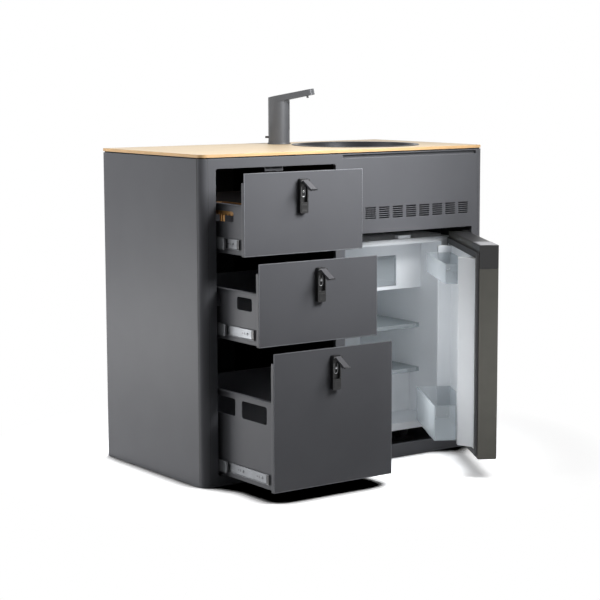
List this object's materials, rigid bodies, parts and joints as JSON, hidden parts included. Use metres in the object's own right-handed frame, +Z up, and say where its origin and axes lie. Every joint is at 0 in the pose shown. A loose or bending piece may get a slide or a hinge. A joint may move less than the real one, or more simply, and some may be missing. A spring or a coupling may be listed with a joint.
{
  "type": "campervan kitchen pod",
  "caption": "Free-standing camper kitchen cabinet with telescopic drawers, a front-opening fridge, a round sink and a swivelling tap",
  "frame": {"origin": "centre of the pod's footprint, on the surface it stands on", "axes": "+Z up, +X to the right of someone who stands in front of it, -Y towards that person"},
  "size_m": [0.95, 0.8658, 1.022],
  "materials": {
    "grey_coat": "satin powder coat",
    "dark_coat": "satin powder coat",
    "black_plastic": "fine grain",
    "zinc": "zinc plated",
    "bamboo": "oiled, satin",
    "anthracite": "satin",
    "white_plastic": "smooth, satin",
    "clear_plastic": "clear",
    "olive_metal": "satin coat on a foam-filled skin",
    "rubber": "matt",
    "glass": "clear, polished",
    "black_steel": "satin black"
  },
  "bodies": {
    "pod": {"base_tray": "grey_coat", "side_panel_left": "grey_coat", "side_panel_right": "grey_coat", "corner_post_left": "grey_coat", "corner_post_right": "grey_coat", "back_panel": "grey_coat", "front_frame": "grey_coat", "runner_panel": "dark_coat", "divider_wall": "dark_coat", "top_frame": "dark_coat", "worktop": "bamboo", "sink_bowl": "black_steel", "sink_waste": "zinc", "fridge_cabinet": "white_plastic", "compressor": "dark_coat", "ice_box": "white_plastic", "glass_shelf_upper": "glass", "glass_shelf_lower": "glass", "hinge_top": "dark_coat", "hinge_bottom": "dark_coat", "drawer_1_runner_fixed_left": "zinc", "drawer_1_runner_fixed_right": "zinc", "drawer_2_runner_fixed_left": "zinc", "drawer_2_runner_fixed_right": "zinc", "drawer_3_runner_fixed_left": "zinc", "drawer_3_runner_fixed_right": "zinc"},
    "tap": {"tap_body": "anthracite"},
    "tap_lever": {"tap_lever": "anthracite"},
    "fridge_door": {"fridge_door_shell": "olive_metal", "fridge_door_latch": "black_plastic", "fridge_door_seal": "rubber", "fridge_door_liner": "white_plastic", "door_bin_upper": "clear_plastic", "door_bin_lower": "clear_plastic"},
    "ice_box_flap": {"ice_box_flap": "clear_plastic"},
    "drawer_1": {"drawer_1_box": "grey_coat", "drawer_1_front": "grey_coat", "drawer_1_latch_housing": "black_plastic", "drawer_1_runner_moving_left": "zinc", "drawer_1_runner_moving_right": "zinc", "drawer_1_insert": "bamboo"},
    "drawer_1_middle": {"drawer_1_runner_middle_left": "zinc", "drawer_1_runner_middle_right": "zinc"},
    "drawer_1_lever": {"drawer_1_latch_lever": "anthracite"},
    "drawer_2": {"drawer_2_box": "grey_coat", "drawer_2_front": "grey_coat", "drawer_2_latch_housing": "black_plastic", "drawer_2_runner_moving_left": "zinc", "drawer_2_runner_moving_right": "zinc"},
    "drawer_2_middle": {"drawer_2_runner_middle_left": "zinc", "drawer_2_runner_middle_right": "zinc"},
    "drawer_2_lever": {"drawer_2_latch_lever": "anthracite"},
    "drawer_3": {"drawer_3_box": "grey_coat", "drawer_3_front": "grey_coat", "drawer_3_latch_housing": "black_plastic", "drawer_3_runner_moving_left": "zinc", "drawer_3_runner_moving_right": "zinc"},
    "drawer_3_middle": {"drawer_3_runner_middle_left": "zinc", "drawer_3_runner_middle_right": "zinc"},
    "drawer_3_lever": {"drawer_3_latch_lever": "anthracite"}
  },
  "joints": [
    {"name": "tap_swivel", "type": "hinge", "parent": "pod", "child": "tap", "pos_m": [0.052, 0.158, 0.8633], "axis": [0, 0, 1], "range_deg": [-60, 60]},
    {"name": "tap_lever_tip", "type": "hinge", "parent": "tap", "child": "tap_lever", "pos_m": [0.03316, 0.17119, 0.8833], "axis": [0.5736, 0.8192, 0], "range_deg": [0, 15]},
    {"name": "fridge_door_hinge", "type": "hinge", "parent": "pod", "child": "fridge_door", "pos_m": [0.413, -0.242, 0.056], "axis": [0, 0, 1], "range_deg": [-60, 60]},
    {"name": "ice_box_flap_hinge", "type": "hinge", "parent": "pod", "child": "ice_box_flap", "pos_m": [0.161, -0.094, 0.543], "axis": [1, 0, 0], "range_deg": [0, 80]},
    {"name": "drawer_1_slide", "type": "slide", "parent": "pod", "child": "drawer_1", "axis": [0, -1, 0], "range_m": [-0.122, 0.308]},
    {"name": "drawer_1_middle_slide", "type": "slide", "parent": "pod", "child": "drawer_1_middle", "axis": [0, -1, 0], "range_m": [-0.061, 0.154]},
    {"name": "drawer_1_lever_hinge", "type": "hinge", "parent": "drawer_1", "child": "drawer_1_lever", "pos_m": [-0.2485, -0.388, 0.796], "axis": [-1, 0, 0], "range_deg": [-60, 25]},
    {"name": "drawer_2_slide", "type": "slide", "parent": "pod", "child": "drawer_2", "axis": [0, -1, 0], "range_m": [-0.185, 0.245]},
    {"name": "drawer_2_middle_slide", "type": "slide", "parent": "pod", "child": "drawer_2_middle", "axis": [0, -1, 0], "range_m": [-0.0925, 0.1225]},
    {"name": "drawer_2_lever_hinge", "type": "hinge", "parent": "drawer_2", "child": "drawer_2_lever", "pos_m": [-0.2395, -0.451, 0.574], "axis": [-1, 0, 0], "range_deg": [-60, 25]},
    {"name": "drawer_3_slide", "type": "slide", "parent": "pod", "child": "drawer_3", "axis": [0, -1, 0], "range_m": [-0.248, 0.182]},
    {"name": "drawer_3_middle_slide", "type": "slide", "parent": "pod", "child": "drawer_3_middle", "axis": [0, -1, 0], "range_m": [-0.124, 0.091]},
    {"name": "drawer_3_lever_hinge", "type": "hinge", "parent": "drawer_3", "child": "drawer_3_lever", "pos_m": [-0.2395, -0.514, 0.357], "axis": [-1, 0, 0], "range_deg": [-60, 25]}
  ],
  "couplings": [
    {"joint": "drawer_1_middle_slide", "follows": "drawer_1_slide", "ratio": 0.5},
    {"joint": "drawer_2_middle_slide", "follows": "drawer_2_slide", "ratio": 0.5},
    {"joint": "drawer_3_middle_slide", "follows": "drawer_3_slide", "ratio": 0.5}
  ]
}
